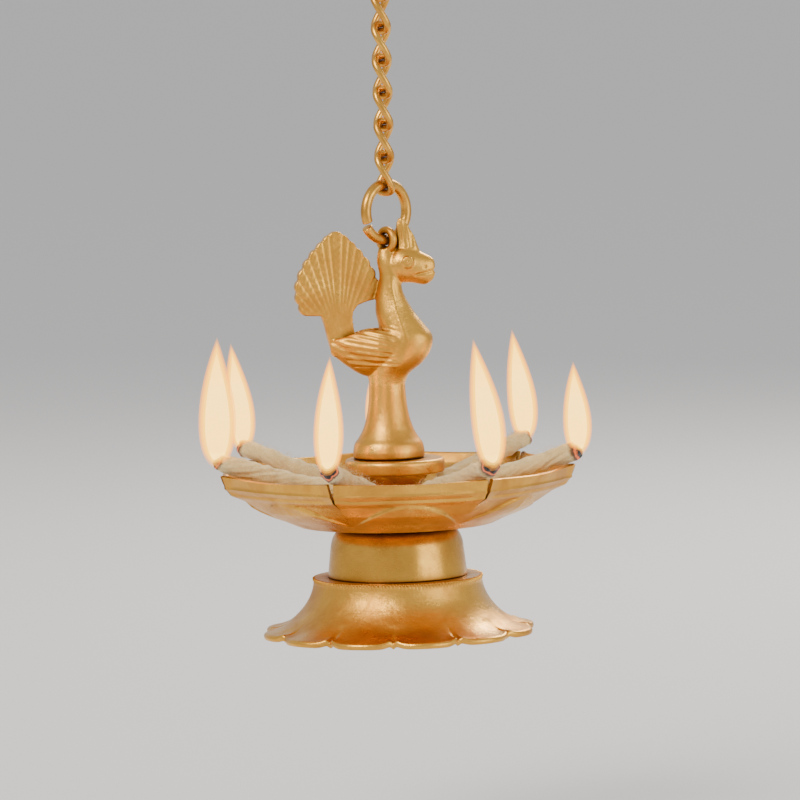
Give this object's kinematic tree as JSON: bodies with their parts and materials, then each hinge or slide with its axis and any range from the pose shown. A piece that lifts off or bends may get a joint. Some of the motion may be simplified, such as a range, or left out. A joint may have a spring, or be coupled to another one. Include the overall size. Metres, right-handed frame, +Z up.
{
  "type": "hanging oil lamp",
  "caption": "Hanging brass oil lamp: a peacock on a pedestal in a petalled pan with radial cotton wicks, over a scalloped bell foot, hung by a ring, a twisted chain and an S-hook.",
  "frame": {"origin": "inside top of the S-hook's crook, where the hook bears on what the lamp hangs from", "axes": "+Z up, along the chain; +X the way the peacock faces"},
  "size_m": [0.119, 0.1184, 0.2546],
  "materials": {
    "cast_brass": "hand-finished casting, soft polish",
    "turned_brass": "lathe turned",
    "wire_brass": "drawn wire, rubbed",
    "cotton_wick": "rolled cotton soaked in oil",
    "lamp_oil": "clear oil",
    "flame": "glowing"
  },
  "bodies": {
    "hook": {"ceiling_hook": "wire_brass"},
    "chain_link_01": {"chain_link_01": "wire_brass"},
    "chain_link_02": {"chain_link_02": "wire_brass"},
    "chain_link_03": {"chain_link_03": "wire_brass"},
    "chain_link_04": {"chain_link_04": "wire_brass"},
    "chain_link_05": {"chain_link_05": "wire_brass"},
    "chain_link_06": {"chain_link_06": "wire_brass"},
    "chain_link_07": {"chain_link_07": "wire_brass"},
    "chain_link_08": {"chain_link_08": "wire_brass"},
    "ring": {"hanging_ring": "wire_brass"},
    "lamp": {"base_skirt": "cast_brass", "base_drum": "turned_brass", "oil_pan": "cast_brass", "riser": "turned_brass", "plinth_disc": "cast_brass", "tie_stud": "turned_brass", "washer": "turned_brass", "hex_nut": "turned_brass", "peacock": "cast_brass"},
    "wick_1": {"wick_1": "cotton_wick"},
    "wick_2": {"wick_2": "cotton_wick"},
    "wick_3": {"wick_3": "cotton_wick"},
    "wick_4": {"wick_4": "cotton_wick"},
    "wick_5": {"wick_5": "cotton_wick"},
    "wick_6": {"wick_6": "cotton_wick"},
    "wick_7": {"wick_7": "cotton_wick"}
  },
  "joints": [
    {"name": "chain_link_01_swing", "type": "hinge", "parent": "hook", "child": "chain_link_01", "pos_m": [-0.0008, 0, -0.0271], "axis": [0.6428, -0.766, 0], "range_deg": [-25, 25]},
    {"name": "chain_link_02_swing", "type": "hinge", "parent": "chain_link_01", "child": "chain_link_02", "pos_m": [-0.0008, 0, -0.03473], "axis": [-0.8192, -0.5736, 0], "range_deg": [-20, 20]},
    {"name": "chain_link_03_swing", "type": "hinge", "parent": "chain_link_02", "child": "chain_link_03", "pos_m": [-0.0008, 0, -0.04743], "axis": [0.8192, -0.5736, 0], "range_deg": [-20, 20]},
    {"name": "chain_link_04_twist", "type": "hinge", "parent": "chain_link_03", "child": "chain_link_04", "pos_m": [-0.0008, 0, -0.06176], "axis": [0, 0, 1], "range_deg": [-15, 15]},
    {"name": "chain_link_05_swing", "type": "hinge", "parent": "chain_link_04", "child": "chain_link_05", "pos_m": [-0.0008, 0, -0.06811], "axis": [0.8192, -0.5736, 0], "range_deg": [-20, 20]},
    {"name": "chain_link_06_swing", "type": "hinge", "parent": "chain_link_05", "child": "chain_link_06", "pos_m": [-0.0008, 0, -0.07609], "axis": [-0.8192, -0.5736, 0], "range_deg": [-20, 20]},
    {"name": "chain_link_07_swing", "type": "hinge", "parent": "chain_link_06", "child": "chain_link_07", "pos_m": [-0.0008, 0, -0.08879], "axis": [0.8192, -0.5736, 0], "range_deg": [-20, 20]},
    {"name": "chain_link_08_swing", "type": "hinge", "parent": "chain_link_07", "child": "chain_link_08", "pos_m": [-0.0008, 0, -0.09677], "axis": [-0.8192, -0.5736, 0], "range_deg": [-20, 20]},
    {"name": "ring_swing", "type": "hinge", "parent": "chain_link_08", "child": "ring", "pos_m": [-0.0008, 0, -0.10947], "axis": [0.8192, -0.5736, 0], "range_deg": [-20, 20]},
    {"name": "lamp_swing", "type": "hinge", "parent": "ring", "child": "lamp", "pos_m": [-0.0008, 0, -0.12456], "axis": [0.7314, 0.682, 0], "range_deg": [-6, 15]},
    {"name": "wick_1_advance", "type": "slide", "parent": "lamp", "child": "wick_1", "axis": [0.4936, -0.8248, 0.2756], "range_m": [-0.005, 0.01]},
    {"name": "wick_2_advance", "type": "slide", "parent": "lamp", "child": "wick_2", "axis": [0.9527, -0.1283, 0.2756], "range_m": [-0.005, 0.01]},
    {"name": "wick_3_advance", "type": "slide", "parent": "lamp", "child": "wick_3", "axis": [0.6943, 0.6648, 0.2756], "range_m": [-0.005, 0.01]},
    {"name": "wick_4_advance", "type": "slide", "parent": "lamp", "child": "wick_4", "axis": [-0.0869, 0.9573, 0.2756], "range_m": [-0.005, 0.01]},
    {"name": "wick_5_advance", "type": "slide", "parent": "lamp", "child": "wick_5", "axis": [-0.8026, 0.529, 0.2756], "range_m": [-0.005, 0.01]},
    {"name": "wick_6_advance", "type": "slide", "parent": "lamp", "child": "wick_6", "axis": [-0.914, -0.2977, 0.2756], "range_m": [-0.005, 0.01]},
    {"name": "wick_7_advance", "type": "slide", "parent": "lamp", "child": "wick_7", "axis": [-0.3371, -0.9002, 0.2756], "range_m": [-0.005, 0.01]}
  ]
}
